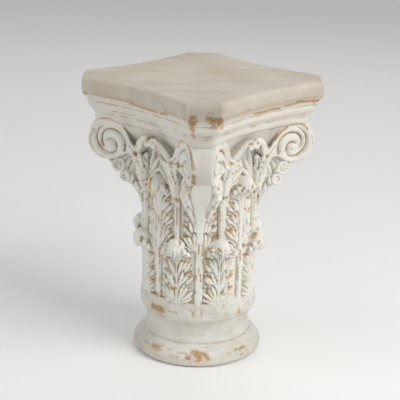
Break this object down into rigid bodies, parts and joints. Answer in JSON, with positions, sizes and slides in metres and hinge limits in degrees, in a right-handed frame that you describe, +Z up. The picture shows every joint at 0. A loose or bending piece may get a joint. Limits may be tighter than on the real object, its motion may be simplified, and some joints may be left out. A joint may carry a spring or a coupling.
{
  "type": "display pedestal",
  "caption": "Display pedestal cast as a leafy column capital, with a hollow-sided square top, corner scrolls, leaves round a bell and a turned foot.",
  "frame": {"origin": "centre of the underside, on the pedestal's axis", "axes": "+Z up along the axis; the four hollow sides of the top face +X, -X, +Y and -Y, and its cut corners point along the diagonals"},
  "size_m": [0.3208, 0.3208, 0.48],
  "materials": {
    "whitewash": "matt whitewash, rubbed through to ochre and brown at edges and crevices"
  },
  "bodies": {
    "root": {"capital_pedestal": "whitewash"}
  },
  "joints": []
}
